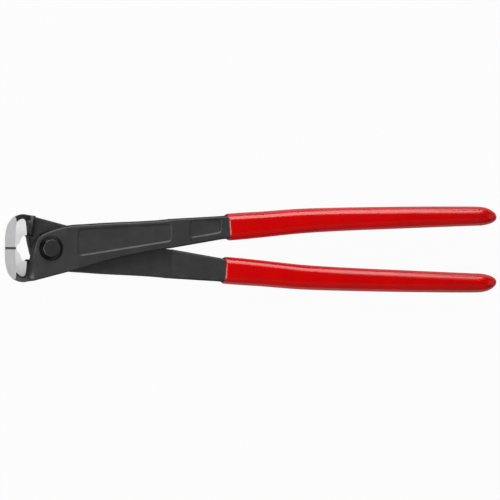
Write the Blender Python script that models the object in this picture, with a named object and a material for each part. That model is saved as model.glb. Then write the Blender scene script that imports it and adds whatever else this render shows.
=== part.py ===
"""High-leverage end-cutting nippers for tying rebar, 300 mm long.

Two identical forgings cross at a riveted lap joint. One is turned over about the tool's length,
so that each carries the jaw on one side and the handle on the other. Dipped plastic sleeves
cover the tangs.

Metres, +Z up. The tool lies flat with its jaws closed: X runs along it with the cutting edges at
-X, the handles part in XY, and the joint turns about an axis along Z. Z = 0 is what the tool lies
on, the lower sides of its jaws, and X = 0 is the middle of its length. Outlines below are
measured from the joint's axis.
"""

import math

import bmesh
import bpy
from mathutils import Vector

# Overall sizes
HANDLE_REACH = 0.2772
EDGE_REACH = 0.0230
HEAD_HALF = 0.0203
JAW_WIDTH = 0.0266
JOINT_THICKNESS = 0.0175

# Clearances
FIT = 0.0003
EDGE_GAP = 0.0003

# Jaws
THROAT_HALF = 0.0077
EDGE_LAND = 0.0006
EDGE_LAND_SETBACK = 0.0003
SIDE_GRIND_DEPTH = 0.0003
SIDE_GRIND_LENGTH = 0.0073
SIDE_GRIND_OVERRUN = 0.0012
JAW_CORNER = 0.0006
JAW_FLAT_HALF = 0.0070
JAW_NARROWING = 0.0074
TONGUE_END = 0.0169
TONGUE_END_X = 0.0173
TONGUE_FRONT_DROP = 0.0042
SHOULDER_CROWN = 0.0011
THROAT_CORNER = 0.0003

# Joint
BOSS_RADIUS = 0.0098
BOSS_CORNER = 0.0012
SHOULDER_LOW = 0.0092
SHOULDER_HIGH = 0.0113
LAP_CORNER = 0.0012
RIVET_SHANK_RADIUS = 0.0050
RIVET_HEAD_RADIUS = 0.0073
RIVET_FLAT_RADIUS = 0.0050
RIVET_HEAD_HEIGHT = 0.0026
RIVET_RIM = 0.0003

# Levers
WAIST_X = 0.0104
WAIST_LOW = 0.0141
LAP_END_X = 0.0740
LAP_RAMP = 0.0015
LAP_END_HALF_THICKNESS = 0.0064
LEVER_CORNER = 0.0009
LEVER_LOW_CORNER = 0.0006
HANDLE_CORNER = 0.0012

# Recessed panels on the levers' outer faces
PANEL_DEPTH = 0.0005
PANEL_CORNER = 0.0018
LAP_PANEL_START = 0.0173
LAP_PANEL_END = 0.0757
LAP_PANEL_HIGH_MARGIN = 0.0030
LAP_PANEL_LOW_MARGIN = 0.0058
HANDLE_PANEL_START = 0.0860
HANDLE_PANEL_HIGH_MARGIN = 0.0017
HANDLE_PANEL_LOW_MARGIN = 0.0042

# Grips
GRIP_WIDTH = 0.0162
GRIP_THICKNESS = 0.0132
GRIP_WALL = 0.0012
GRIP_LIP = 0.0008
GRIP_CORNER = 0.0048
GRIP_TIP = 0.0110
HANDLE_SPREAD = 0.0201
UPPER_GRIP_START = 0.1104
LOWER_GRIP_START = 0.1082
TANG_START = 0.1060
TANG_END_COVER = 0.0080
TANG_CORNER = 0.0020

# What cutters reach past the faces that they cut, and how near two points are one
OVERRUN = 0.0040
SAME_POINT = 0.00003

CORNER_STEPS = 3
NOSE_STEPS = 4
GRIP_CORNER_STEPS = 5
TIP_STEPS = 6
ROUND_STEPS = 48
FACE_STEPS = 4
SHARP_ANGLE = math.radians(32)

# The jaw in shares of EDGE_REACH along X and of HEAD_HALF along Y: its outer side from the front of
# the rough forging back to the crest.
JAW_OUTER_SHARES = (
    (-1.090, -0.740),
    (-1.020, -0.815),
    (-0.950, -0.872),
    (-0.880, -0.920),
    (-0.845, -0.942),
    (-0.810, -0.960),
    (-0.775, -0.975),
    (-0.740, -0.987),
    (-0.700, -0.995),
    (-0.635, -1.000),
    (-0.570, -0.990),
    (-0.500, -0.972),
)

# The jaw's inner side in shares of EDGE_REACH along X and of THROAT_HALF along Y: the bevel behind
# the cutting edge, then the throat.
JAW_INNER_SHARES = (
    (-0.945, -0.210),
    (-0.890, -0.385),
    (-0.862, -0.570),
    (-0.838, -0.775),
    (-0.800, -0.925),
    (-0.745, -0.985),
    (-0.690, -1.000),
    (-0.620, -1.000),
    (-0.560, -0.990),
    (-0.520, -0.955),
)

# How far the cutting bevel runs on in the rough forging, as a share of its first stretch
ROUGH_FRONT_SHARE = 1.45

# Where the shoulder ends, in shares of HEAD_HALF and THROAT_HALF
SHOULDER_LOW_SHARE = 0.945
SHOULDER_HIGH_SHARE = 0.850

# Where the jaw's flared sides start to narrow, in shares of EDGE_REACH
FLARE_START_SHARE = 0.72

# The boss in shares of BOSS_RADIUS: in from the throat, and out to the lever's high edge
BOSS_RUN_IN_SHARES = ((-1.112, -0.439), (-1.082, -0.224), (-1.031, -0.031))
BOSS_ARC = (math.radians(168), math.radians(112))
BOSS_ARC_STEPS = 7
BOSS_RUN_OUT_SHARES = ((-0.180, 1.010), (0.040, 1.088), (0.398, 1.204), (0.918, 1.335))

# The ground face across the front of the jaw, in shares of EDGE_REACH and HEAD_HALF
FRONT_FACE_SHARES = (
    (-0.9977, -0.175),
    (-0.9890, -0.350),
    (-0.9710, -0.540),
    (-0.9430, -0.700),
    (-0.9130, -0.813),
    (-0.8800, -0.916),
    (-0.8520, -0.995),
    (-0.8330, -1.050),
)

# The lever's edges: share of LAP_END_X along X, then the low and high side in shares of
# HANDLE_SPREAD.
LEVER_EDGE_SHARES = (
    (0.2098, -0.6260, 0.7010),
    (0.3139, -0.5130, 0.7240),
    (0.4312, -0.3880, 0.7540),
    (0.5604, -0.2700, 0.7790),
    (0.7275, -0.1400, 0.8060),
    (0.9002, -0.0280, 0.8430),
)
LAP_END_LOW_SHARE = 0.009
LAP_END_HIGH_SHARE = 0.880

# The handle's centre line and grip: share of the way from TANG_START to the tip, centre in shares
# of HANDLE_SPREAD, half width in shares of GRIP_WIDTH / 2, half thickness of GRIP_THICKNESS / 2.
GRIP_SHARES = (
    (0.000, 0.627, 1.000, 1.000),
    (0.080, 0.680, 0.988, 0.995),
    (0.150, 0.727, 0.957, 0.985),
    (0.290, 0.832, 0.914, 0.960),
    (0.436, 0.890, 0.868, 0.935),
    (0.654, 0.945, 0.812, 0.900),
    (0.870, 0.988, 0.735, 0.850),
    (0.950, 0.993, 0.695, 0.820),
    (1.000, 0.957, 0.660, 0.800),
)

LAP = FIT / 2
JOINT_HALF = JOINT_THICKNESS / 2
JAW_FORGED_HALF = JAW_WIDTH / 2 + SIDE_GRIND_DEPTH
RIVET_SEAT = JOINT_HALF + FIT
JOINT_X = (EDGE_REACH - HANDLE_REACH) / 2
MID_HEIGHT = JAW_WIDTH / 2
TANG_REACH = HANDLE_REACH - TANG_START


def clear_scene():
    for obj in list(bpy.data.objects):
        bpy.data.objects.remove(obj, do_unlink=True)


def material(name, colour, roughness, metallic):
    made = bpy.data.materials.new(name)
    made.use_nodes = True
    shader = made.node_tree.nodes["Principled BSDF"]
    shader.inputs["Base Color"].default_value = (*colour, 1.0)
    shader.inputs["Roughness"].default_value = roughness
    shader.inputs["Metallic"].default_value = metallic
    return made


def linked_object(name, mesh):
    obj = bpy.data.objects.new(name, mesh)
    bpy.context.scene.collection.objects.link(obj)
    return obj


def mesh_from(bm, name):
    bmesh.ops.recalc_face_normals(bm, faces=bm.faces)
    mesh = bpy.data.meshes.new(name)
    bm.to_mesh(mesh)
    bm.free()
    return mesh


def cutter(name, bm):
    obj = linked_object(name, mesh_from(bm, name))
    obj.hide_render = True
    obj.display_type = "WIRE"
    return obj


def between(table, where, column):
    """The table's column at this place, read straight between rows and held past both ends."""
    if where <= table[0][0]:
        return table[0][column]
    for low, high in zip(table, table[1:]):
        if where <= high[0]:
            part = (where - low[0]) / (high[0] - low[0])
            return low[column] + part * (high[column] - low[column])
    return table[-1][column]


def smooth_between(table, where, column):
    """The table's column at this place on a smooth curve through its rows."""
    last = len(table) - 1
    at = 0
    while at < last - 1 and where > table[at + 1][0]:
        at += 1
    start, end = table[at], table[at + 1]
    before, after = table[max(at - 1, 0)], table[min(at + 2, last)]
    length = end[0] - start[0]
    part = (where - start[0]) / length
    slope_in = (end[column] - before[column]) / (end[0] - before[0]) * length
    slope_out = (after[column] - start[column]) / (after[0] - start[0]) * length
    squared, cubed = part**2, part**3
    return (
        (2 * cubed - 3 * squared + 1) * start[column]
        + (cubed - 2 * squared + part) * slope_in
        + (3 * squared - 2 * cubed) * end[column]
        + (cubed - squared) * slope_out
    )


def handle_centre(x):
    share = (x - TANG_START) / TANG_REACH
    return Vector((x, HANDLE_SPREAD * smooth_between(GRIP_SHARES, share, 1)))


def handle_side(x):
    """The direction across the handle, towards its high side."""
    step = TANG_REACH / ROUND_STEPS
    along = (handle_centre(x + step) - handle_centre(x - step)).normalized()
    return Vector((-along.y, along.x))


def grip_halves(x):
    """The grip's half width and half thickness, drawn in round its tip."""
    share = (x - TANG_START) / TANG_REACH
    into_tip = max(0.0, (x - HANDLE_REACH + GRIP_TIP) / GRIP_TIP)
    drawn_in = math.sqrt(max(0.0, 1 - into_tip**2))
    width = GRIP_WIDTH / 2 * smooth_between(GRIP_SHARES, share, 2)
    thickness = GRIP_THICKNESS / 2 * smooth_between(GRIP_SHARES, share, 3)
    return width * drawn_in, thickness * drawn_in


def tang_halves(x):
    width, thickness = grip_halves(x)
    return width - GRIP_WALL, thickness - GRIP_WALL


def ground_half(y):
    """Half the jaw's width between its ground sides, which are flat near the cutting edges and
    curve in towards the jaw's outer ends."""
    share = max(0.0, (abs(y) - JAW_FLAT_HALF) / (HEAD_HALF - JAW_FLAT_HALF))
    return JAW_WIDTH / 2 - JAW_NARROWING * share**2


def tongue_end(x):
    """How far from the tool's middle the ground side face reaches here."""
    past = max(0.0, (-x - TONGUE_END_X) / (EDGE_REACH - TONGUE_END_X))
    return TONGUE_END - TONGUE_FRONT_DROP * past**2


def half_thickness(x, y):
    """The forging from its middle plane out to its side face."""
    if x > TANG_START:
        return tang_halves(x)[1]
    stations = (
        (-EDGE_REACH * FLARE_START_SHARE, ground_half(y) + SIDE_GRIND_DEPTH),
        (-BOSS_RADIUS - BOSS_CORNER, JOINT_HALF),
        (LAP_PANEL_START, JOINT_HALF),
        (LAP_PANEL_END, LAP_END_HALF_THICKNESS),
        (TANG_START, tang_halves(TANG_START)[1]),
    )
    return between(stations, x, 1)


class Rung:
    """A cut through the forging, from a point on its low side to one on its high side."""

    def __init__(self, low, high, corners, crown=0.0, full=True):
        self.low = Vector(low)
        self.high = Vector(high)
        self.low_corner, self.high_corner = corners
        self.crown = crown
        self.full = full
        self.high_inward = None

    def tops(self):
        """The forging's half thickness at the face ends of the low and the high corner."""
        inward = (self.high - self.low).normalized()
        low_end = self.low + inward * (self.low_corner + self.crown)
        high_end = self.high + self.high_inward * self.high_corner
        return half_thickness(*low_end), half_thickness(*high_end)

    def low_point(self, setback, z):
        inward = (self.high - self.low).normalized()
        at = self.low + inward * (setback + self.crown * (z / self.tops()[0]) ** 2)
        return Vector((at.x, at.y, z))

    def high_point(self, setback, z):
        at = self.high + self.high_inward * setback
        return Vector((at.x, at.y, z))

    def face_points(self, side):
        """Points across the side face, from the low corner's end to the high corner's."""
        low_top, high_top = self.tops()
        start = self.low_point(self.low_corner, low_top)
        end = self.high_point(self.high_corner, high_top)
        for step in range(1, FACE_STEPS):
            at = start.lerp(end, step / FACE_STEPS)
            yield Vector((at.x, at.y, side * half_thickness(at.x, at.y)))


def corner_turn(radius):
    """Setback and drop of points round a corner, from the side wall to the flat face."""
    for step in range(CORNER_STEPS + 1):
        turn = math.pi / 2 * step / CORNER_STEPS
        yield radius * (1 - math.cos(turn)), radius * (1 - math.sin(turn))


def near_points(rung):
    """Up the low side from the lap plane, across the near face and down the high side."""
    lap_setback = 0.0 if rung.full else LAP_CORNER
    low_top, high_top = rung.tops()
    lap_edge = LAP + LAP_CORNER
    low = [rung.low_point(lap_setback, LAP)]
    for step in range(NOSE_STEPS):
        rise = (low_top - rung.low_corner - lap_edge) * step / NOSE_STEPS
        low.append(rung.low_point(0.0, lap_edge + rise))
    for setback, drop in corner_turn(rung.low_corner):
        low.append(rung.low_point(setback, low_top - drop))
    high = [rung.high_point(lap_setback, LAP), rung.high_point(0.0, lap_edge)]
    for setback, drop in corner_turn(rung.high_corner):
        high.append(rung.high_point(setback, high_top - drop))
    return low + list(rung.face_points(1)) + high[::-1]


def far_points(rung):
    """Down the high side from the lap plane, across the far face and up the low side."""
    low_top, high_top = rung.tops()
    high = [
        rung.high_point(setback, drop - high_top)
        for setback, drop in corner_turn(rung.high_corner)
    ]
    low = []
    for step in range(1, NOSE_STEPS):
        low.append(rung.low_point(0.0, (rung.low_corner - low_top) * step / NOSE_STEPS))
    for setback, drop in corner_turn(rung.low_corner):
        low.append(rung.low_point(setback, drop - low_top))
    return high + list(rung.face_points(-1))[::-1] + low[::-1]


def aim_high_sides(rungs):
    """Sets each rung's direction inwards from the high side, square to that side's line."""
    for at, rung in enumerate(rungs):
        before = rungs[max(at - 1, 0)].high
        after = rungs[min(at + 1, len(rungs) - 1)].high
        along = (after - before).normalized()
        rung.high_inward = Vector((along.y, -along.x))


def jaw_rungs():
    """The jaw at its full width, from the rough front back to the shoulder."""
    edge = Vector((-EDGE_REACH, -EDGE_GAP / 2))
    inner = [
        Vector((EDGE_REACH * x, THROAT_HALF * y)) for x, y in JAW_INNER_SHARES
    ]
    rough_front = edge + (edge - inner[0]) * ROUGH_FRONT_SHARE
    highs = [rough_front, edge, *inner]
    lows = [Vector((EDGE_REACH * x, HEAD_HALF * y)) for x, y in JAW_OUTER_SHARES]
    corners = (JAW_CORNER, THROAT_CORNER)
    rungs = []
    for low, high in zip(lows, highs):
        rungs.append(Rung(low, high, corners, -low.y - tongue_end(low.x)))
    shoulder_low = (-SHOULDER_LOW, -HEAD_HALF * SHOULDER_LOW_SHARE)
    shoulder_high = (-SHOULDER_HIGH, -THROAT_HALF * SHOULDER_HIGH_SHARE)
    corners = (BOSS_CORNER, THROAT_CORNER)
    rungs.append(Rung(shoulder_low, shoulder_high, corners, SHOULDER_CROWN))
    return rungs


def boss_rungs():
    """The half-thick lap round the rivet, from the shoulder to the waist."""
    start = Vector((-SHOULDER_LOW, -HEAD_HALF * SHOULDER_LOW_SHARE))
    waist = Vector((WAIST_X, -WAIST_LOW))
    highs = [Vector((x, y)) * BOSS_RADIUS for x, y in BOSS_RUN_IN_SHARES]
    first, last = BOSS_ARC
    for step in range(BOSS_ARC_STEPS):
        turn = first + (last - first) * step / (BOSS_ARC_STEPS - 1)
        highs.append(Vector((math.cos(turn), math.sin(turn))) * BOSS_RADIUS)
    highs += [Vector((x, y)) * BOSS_RADIUS for x, y in BOSS_RUN_OUT_SHARES]
    rungs = []
    for at, high in enumerate(highs):
        share = (at + 1) / len(highs)
        low_corner = BOSS_CORNER + share * (LEVER_LOW_CORNER - BOSS_CORNER)
        high_corner = THROAT_CORNER if at == 0 else BOSS_CORNER
        crown = SHOULDER_CROWN * (1 - share)
        low = start.lerp(waist, share)
        rungs.append(Rung(low, high, (low_corner, high_corner), crown, full=False))
    return rungs


def lever_rungs():
    """The lever from the waist to the end of the lap, then at its full thickness."""
    corners = (LEVER_LOW_CORNER, LEVER_CORNER)
    rungs = []
    for x, low, high in LEVER_EDGE_SHARES:
        low_point = (LAP_END_X * x, HANDLE_SPREAD * low)
        high_point = (LAP_END_X * x, HANDLE_SPREAD * high)
        rungs.append(Rung(low_point, high_point, corners, full=False))
    low = Vector((LAP_END_X, HANDLE_SPREAD * LAP_END_LOW_SHARE))
    high = Vector((LAP_END_X, HANDLE_SPREAD * LAP_END_HIGH_SHARE))
    rungs.append(Rung(low, high, corners, full=False))
    tang = tang_rung(TANG_START)
    ramp_share = LAP_RAMP / (TANG_START - LAP_END_X)
    corners = (HANDLE_CORNER, HANDLE_CORNER)
    for share in (ramp_share, (1 + ramp_share) / 2):
        rungs.append(Rung(low.lerp(tang.low, share), high.lerp(tang.high, share), corners))
    return rungs


def tang_rung(x):
    centre, side = handle_centre(x), handle_side(x)
    half = tang_halves(x)[0]
    corner = HANDLE_CORNER if x <= UPPER_GRIP_START else TANG_CORNER
    return Rung(centre - side * half, centre + side * half, (corner, corner))


def tang_stations():
    end = HANDLE_REACH - TANG_END_COVER
    yield TANG_START
    yield UPPER_GRIP_START
    steps = len(GRIP_SHARES)
    for step in range(1, steps + 1):
        yield UPPER_GRIP_START + (end - UPPER_GRIP_START) * step / steps


def skin(bm, loops, closed):
    """Faces between each loop of vertices and the next."""
    for first, second in zip(loops, loops[1:]):
        count = len(first)
        for at in range(count if closed else count - 1):
            after = (at + 1) % count
            bm.faces.new((first[at], first[after], second[after], second[at]))


def forged_blank():
    """The forging before grinding and drilling: rungs at full width at both ends and at half
    width where the lap joint needs room for the other half."""
    rungs = jaw_rungs() + boss_rungs() + lever_rungs()
    rungs += [tang_rung(x) for x in tang_stations()]
    aim_high_sides(rungs)
    bm = bmesh.new()
    near = [[bm.verts.new(p) for p in near_points(rung)] for rung in rungs]
    far = [
        [bm.verts.new(p) for p in far_points(rung)] if rung.full else None for rung in rungs
    ]
    skin(bm, near, closed=False)
    for at in range(len(rungs) - 1):
        here, there = far[at], far[at + 1]
        low_here, high_here = near[at][0], near[at][-1]
        low_there, high_there = near[at + 1][0], near[at + 1][-1]
        if here and there:
            skin(
                bm,
                [[high_here, *here, low_here], [high_there, *there, low_there]],
                closed=False,
            )
            continue
        if here:
            bm.faces.new((high_here, *here, low_here))
        if there:
            first, last = CORNER_STEPS, CORNER_STEPS + FACE_STEPS
            bm.faces.new((high_here, high_there, *there[: first + 1]))
            bm.faces.new((high_here, *there[first : last + 1], low_here))
            bm.faces.new((low_here, *there[last:], low_there))
            continue
        bm.faces.new((low_here, high_here, high_there, low_there))
    for end in (0, -1):
        bm.faces.new(near[end] + far[end])
    return linked_object("forging", mesh_from(bm, "forging"))


def prism(points, bottom, top):
    """A cutter with this outline in XY, between two heights."""
    bm = bmesh.new()
    low = [bm.verts.new((x, y, bottom)) for x, y in points]
    high = [bm.verts.new((x, y, top)) for x, y in points]
    skin(bm, [low, high], closed=True)
    bm.faces.new(low)
    bm.faces.new(high)
    return bm


def front_grinding():
    """Takes the rough front of the forging down to the jaw's ground face and edge land."""
    face = [
        (-EDGE_REACH + EDGE_LAND_SETBACK, THROAT_HALF),
        (-EDGE_REACH + EDGE_LAND_SETBACK, -EDGE_GAP / 2),
        (-EDGE_REACH, -EDGE_GAP / 2 - EDGE_LAND),
    ]
    face += [(EDGE_REACH * x, HEAD_HALF * y) for x, y in FRONT_FACE_SHARES]
    outside = face[-1][0] - EDGE_REACH
    outline = face + [(outside, face[-1][1]), (outside, THROAT_HALF)]
    reach = JAW_FORGED_HALF + OVERRUN
    return cutter("front_grinding", prism(outline, -reach, reach))


def side_grinding(side):
    """Takes one side of the jaw down to its width, narrower towards its outer end."""
    outside = side * (JAW_FORGED_HALF + OVERRUN)
    start, end = -TONGUE_END - SIDE_GRIND_OVERRUN, THROAT_HALF
    ground = []
    for step in range(ROUND_STEPS + 1):
        y = start + (end - start) * step / ROUND_STEPS
        ground.append((y, side * ground_half(y)))
    outline = [*ground, (end, outside), (start, outside)]
    bm = bmesh.new()
    ends = (-EDGE_REACH - OVERRUN, -EDGE_REACH + SIDE_GRIND_LENGTH)
    loops = [[bm.verts.new((x, y, z)) for y, z in outline] for x in ends]
    skin(bm, loops, closed=True)
    for loop in loops:
        bm.faces.new(loop)
    return cutter("side_grinding", bm)


def rivet_bore():
    outline = circle(RIVET_SHANK_RADIUS + FIT)
    reach = JOINT_HALF + OVERRUN
    return cutter("rivet_bore", prism(outline, -reach, reach))


def circle(radius):
    turns = [math.tau * step / ROUND_STEPS for step in range(ROUND_STEPS)]
    return [(radius * math.cos(turn), radius * math.sin(turn)) for turn in turns]


def rounded(corners, radius):
    """The outline through these corners with each one rounded."""
    points = []
    count = len(corners)
    for at, corner in enumerate(corners):
        back = (corners[at - 1] - corner).normalized()
        ahead = (corners[(at + 1) % count] - corner).normalized()
        tangent = radius / math.tan(back.angle(ahead) / 2)
        start, end = corner + back * tangent, corner + ahead * tangent
        for step in range(CORNER_STEPS + 1):
            share = step / CORNER_STEPS
            points.append(start.lerp(corner, share).lerp(corner.lerp(end, share), share))
    return points


def lever_edges(x):
    """The low and high edge of the lever here."""
    tang = tang_rung(TANG_START)
    rows = [
        (LAP_END_X * at, HANDLE_SPREAD * low, HANDLE_SPREAD * high)
        for at, low, high in LEVER_EDGE_SHARES
    ]
    rows.append(
        (
            LAP_END_X,
            HANDLE_SPREAD * LAP_END_LOW_SHARE,
            HANDLE_SPREAD * LAP_END_HIGH_SHARE,
        )
    )
    rows.append((TANG_START, tang.low.y, tang.high.y))
    return between(rows, x, 1), between(rows, x, 2)


def panel(name, start, end, low_margin, high_margin):
    """Sinks a rounded panel into the near face, with its floor parallel to that face."""
    start_low, start_high = lever_edges(start)
    end_low, end_high = lever_edges(end)
    corners = [
        Vector((start, start_low + low_margin)),
        Vector((end, end_low + low_margin)),
        Vector((end, end_high - high_margin)),
        Vector((start, start_high - high_margin)),
    ]
    outline = rounded(corners, PANEL_CORNER)
    start_face, end_face = half_thickness(start, 0.0), half_thickness(end, 0.0)
    bm = bmesh.new()
    floor, lid = [], []
    for point in outline:
        share = (point.x - start) / (end - start)
        face = start_face + share * (end_face - start_face)
        floor.append(bm.verts.new((point.x, point.y, face - PANEL_DEPTH)))
        lid.append(bm.verts.new((point.x, point.y, face + OVERRUN)))
    skin(bm, [floor, lid], closed=True)
    bm.faces.new(floor)
    bm.faces.new(lid)
    return cutter(name, bm)


def cut(obj, tool):
    modifier = obj.modifiers.new(tool.name, "BOOLEAN")
    modifier.operation = "DIFFERENCE"
    modifier.solver = "EXACT"
    modifier.object = tool


def finished_forging():
    """The forging ground, bored and sunk, as one mesh that both levers share."""
    blank = forged_blank()
    lap_panel = panel(
        "lap_panel",
        LAP_PANEL_START,
        LAP_PANEL_END,
        LAP_PANEL_LOW_MARGIN,
        LAP_PANEL_HIGH_MARGIN,
    )
    handle_panel = panel(
        "handle_panel",
        HANDLE_PANEL_START,
        TANG_START,
        HANDLE_PANEL_LOW_MARGIN,
        HANDLE_PANEL_HIGH_MARGIN,
    )
    tools = [front_grinding(), side_grinding(1), side_grinding(-1), rivet_bore()]
    tools += [lap_panel, handle_panel]
    for tool in tools:
        cut(blank, tool)
    bpy.context.view_layer.update()
    graph = bpy.context.evaluated_depsgraph_get()
    mesh = bpy.data.meshes.new_from_object(blank.evaluated_get(graph))
    mesh.name = "lever_forging"
    for obj in [blank, *tools]:
        bpy.data.objects.remove(obj, do_unlink=True)
    bm = bmesh.new()
    bm.from_mesh(mesh)
    bmesh.ops.remove_doubles(bm, verts=bm.verts, dist=SAME_POINT)
    bm.to_mesh(mesh)
    bm.free()
    mesh.shade_smooth()
    mesh.set_sharp_from_angle(angle=SHARP_ANGLE)
    return mesh


def bar_loop(x, half_width, half_thickness_here, corner):
    """A rounded rectangle square to the handle's centre line."""
    centre, side = handle_centre(x), handle_side(x)
    corner = min(corner, half_width, half_thickness_here)
    points = []
    for quarter in range(4):
        across = 1 if quarter in (0, 3) else -1
        up = 1 if quarter in (0, 1) else -1
        for step in range(GRIP_CORNER_STEPS + 1):
            turn = math.pi / 2 * (quarter + step / GRIP_CORNER_STEPS)
            wide = across * (half_width - corner) + corner * math.cos(turn)
            high = up * (half_thickness_here - corner) + corner * math.sin(turn)
            at = centre + side * wide
            points.append((at.x, at.y, high))
    return points


def grip_stations(start):
    """Places along the grip behind its lip, closer together round the tip."""
    tip_start = HANDLE_REACH - GRIP_TIP
    steps = 2 * len(GRIP_SHARES)
    for step in range(1, steps + 1):
        yield start + GRIP_LIP + (tip_start - start - GRIP_LIP) * step / steps
    for step in range(1, TIP_STEPS):
        yield tip_start + GRIP_TIP * math.sin(math.pi / 2 * step / TIP_STEPS)


def grip_mesh(name, start):
    """A dipped sleeve with a rounded lip, open at the front for the tang and closed at its tip."""
    bm = bmesh.new()
    outer = []
    for setback, back in corner_turn(GRIP_LIP):
        width, thickness = grip_halves(start + GRIP_LIP)
        x = start + setback
        outer.append(bar_loop(x, width - back, thickness - back, GRIP_CORNER - back))
    for x in grip_stations(start):
        width, thickness = grip_halves(x)
        outer.append(bar_loop(x, width, thickness, GRIP_CORNER))
    pocket_end = HANDLE_REACH - TANG_END_COVER + FIT
    pocket = []
    steps = len(GRIP_SHARES)
    for step in range(steps + 1):
        x = start + (pocket_end - start) * step / steps
        width, thickness = tang_halves(min(x, pocket_end - FIT))
        pocket.append(bar_loop(x, width + FIT, thickness + FIT, TANG_CORNER))
    loops = [[bm.verts.new(p) for p in loop] for loop in pocket[::-1] + outer]
    skin(bm, loops, closed=True)
    bm.faces.new(loops[0])
    bm.faces.new(loops[-1])
    mesh = mesh_from(bm, name)
    mesh.shade_smooth()
    mesh.set_sharp_from_angle(angle=SHARP_ANGLE)
    return mesh


def rivet_mesh():
    """The rivet turned about Z: a shank with a flat-topped cone on each side."""
    top = RIVET_SEAT + RIVET_HEAD_HEIGHT
    upper = [
        (RIVET_SHANK_RADIUS, RIVET_SEAT),
        (RIVET_HEAD_RADIUS, RIVET_SEAT),
        (RIVET_HEAD_RADIUS, RIVET_SEAT + RIVET_RIM),
        (RIVET_FLAT_RADIUS, top),
    ]
    profile = upper[::-1] + [(radius, -z) for radius, z in upper]
    bm = bmesh.new()
    loops = []
    for radius, z in profile:
        loops.append([bm.verts.new((x, y, z)) for x, y in circle(radius)])
    skin(bm, loops, closed=True)
    bm.faces.new(loops[0])
    bm.faces.new(loops[-1])
    mesh = mesh_from(bm, "joint_rivet")
    mesh.shade_smooth()
    mesh.set_sharp_from_angle(angle=SHARP_ANGLE)
    return mesh


def place(name, mesh, finish, parent, turned_over=False):
    """Puts a piece on the joint axis, turned over about the tool's length for the lower half."""
    obj = linked_object(name, mesh)
    mesh.materials.clear()
    mesh.materials.append(finish)
    obj.parent = parent
    if turned_over:
        obj.rotation_euler.x = math.pi
    return obj


def joint_empty(name):
    empty = linked_object(name, None)
    empty.location = (JOINT_X, 0.0, MID_HEIGHT)
    return empty


def main():
    clear_scene()
    black_steel = material("black_oxide_steel", (0.050, 0.052, 0.055), 0.45, 0.85)
    rivet_steel = material("black_rivet_steel", (0.042, 0.043, 0.046), 0.42, 0.85)
    red_vinyl = material("red_dipped_vinyl", (0.62, 0.010, 0.012), 0.28, 0.0)
    upper_half = joint_empty("upper_half")
    lower_half = joint_empty("lower_half")
    forging = finished_forging()
    place("upper_lever", forging, black_steel, upper_half)
    place("lower_lever", forging, black_steel, lower_half, turned_over=True)
    place("joint_rivet", rivet_mesh(), rivet_steel, upper_half)
    upper_grip = grip_mesh("upper_grip", UPPER_GRIP_START)
    lower_grip = grip_mesh("lower_grip", LOWER_GRIP_START)
    place("upper_grip", upper_grip, red_vinyl, upper_half)
    place("lower_grip", lower_grip, red_vinyl, lower_half, turned_over=True)


main()
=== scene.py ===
import math

import bmesh
import bpy
from mathutils import Matrix, Vector


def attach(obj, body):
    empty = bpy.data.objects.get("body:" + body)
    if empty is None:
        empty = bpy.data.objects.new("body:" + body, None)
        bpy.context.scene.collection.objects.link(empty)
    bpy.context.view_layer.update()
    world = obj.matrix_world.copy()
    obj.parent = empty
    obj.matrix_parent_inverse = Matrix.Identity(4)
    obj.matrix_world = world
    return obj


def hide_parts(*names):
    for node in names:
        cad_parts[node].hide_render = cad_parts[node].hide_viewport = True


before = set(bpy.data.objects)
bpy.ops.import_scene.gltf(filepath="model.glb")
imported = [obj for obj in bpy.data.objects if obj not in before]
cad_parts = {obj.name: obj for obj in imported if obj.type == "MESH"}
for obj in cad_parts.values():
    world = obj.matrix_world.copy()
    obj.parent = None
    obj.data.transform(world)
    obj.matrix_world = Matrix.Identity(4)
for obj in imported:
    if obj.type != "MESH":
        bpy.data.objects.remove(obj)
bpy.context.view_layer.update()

# Main sizes in metres. Places along the tool and across it are measured from the joint's axis
HANDLE_REACH = 0.2772
EDGE_REACH = 0.0230
HEAD_HALF = 0.0203
JAW_WIDTH = 0.0266
JOINT_THICKNESS = 0.0175
FIT = 0.0003
EDGE_GAP = 0.00001

# Throat, and the narrow flat along the cutting edge
THROAT_HALF = 0.0077
THROAT_CORNER = 0.0004
EDGE_LAND = 0.0007
EDGE_LAND_SETBACK = 0.0005

# The jaw's sides are ground to a curve across the jaw, so that a tongue of bright metal is left on
# each: where it ends, the forging falls away to its outer side or back to the lap. TONGUE_ENDS has
# one value for each side of the forging
JAW_FLAT_HALF = 0.0070
JAW_NARROWING = 0.0074
GROUND_RISE = 0.0004
GROUND_REACH = 0.0198
TONGUE_BACK = -0.0159
TONGUE_ENDS = {1: 0.0163, -1: 0.0172}
TONGUE_END_X = 0.0173
TONGUE_FRONT_DROP = 0.0042
TONGUE_MARGIN = 0.0004
TONGUE_ROUND = 0.0016
TONGUE_OVERRUN = 0.0020
FLARE_SLOPE = 0.80
NOSE_POWER = 0.8

# Boss, lap and rivet
BOSS_RADIUS = 0.0098
BOSS_CORNER = 0.0012
SHOULDER_LOW = 0.0092
SHOULDER_HIGH = 0.0113
LAP_CORNER = 0.0008
RIVET_SHANK_RADIUS = 0.0050
RIVET_HEAD_RADIUS = 0.0073
RIVET_FLAT_RADIUS = 0.0050
RIVET_HEAD_HEIGHT = 0.0026
RIVET_RIM = 0.0003
RIVET_SOFT = 0.00035

# Levers behind the joint. Their thickness tapers from TAPER_START to TAPER_END
WAIST_X = 0.0104
WAIST_LOW = 0.0141
LAP_END_X = 0.0740
LAP_RAMP = 0.0015
LAP_END_HALF_THICKNESS = 0.0064
TAPER_START = 0.0173
TAPER_END = 0.0757
LEVER_CORNER = 0.0016
LEVER_LOW_CORNER = 0.0007
HANDLE_CORNER = 0.0012

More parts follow.
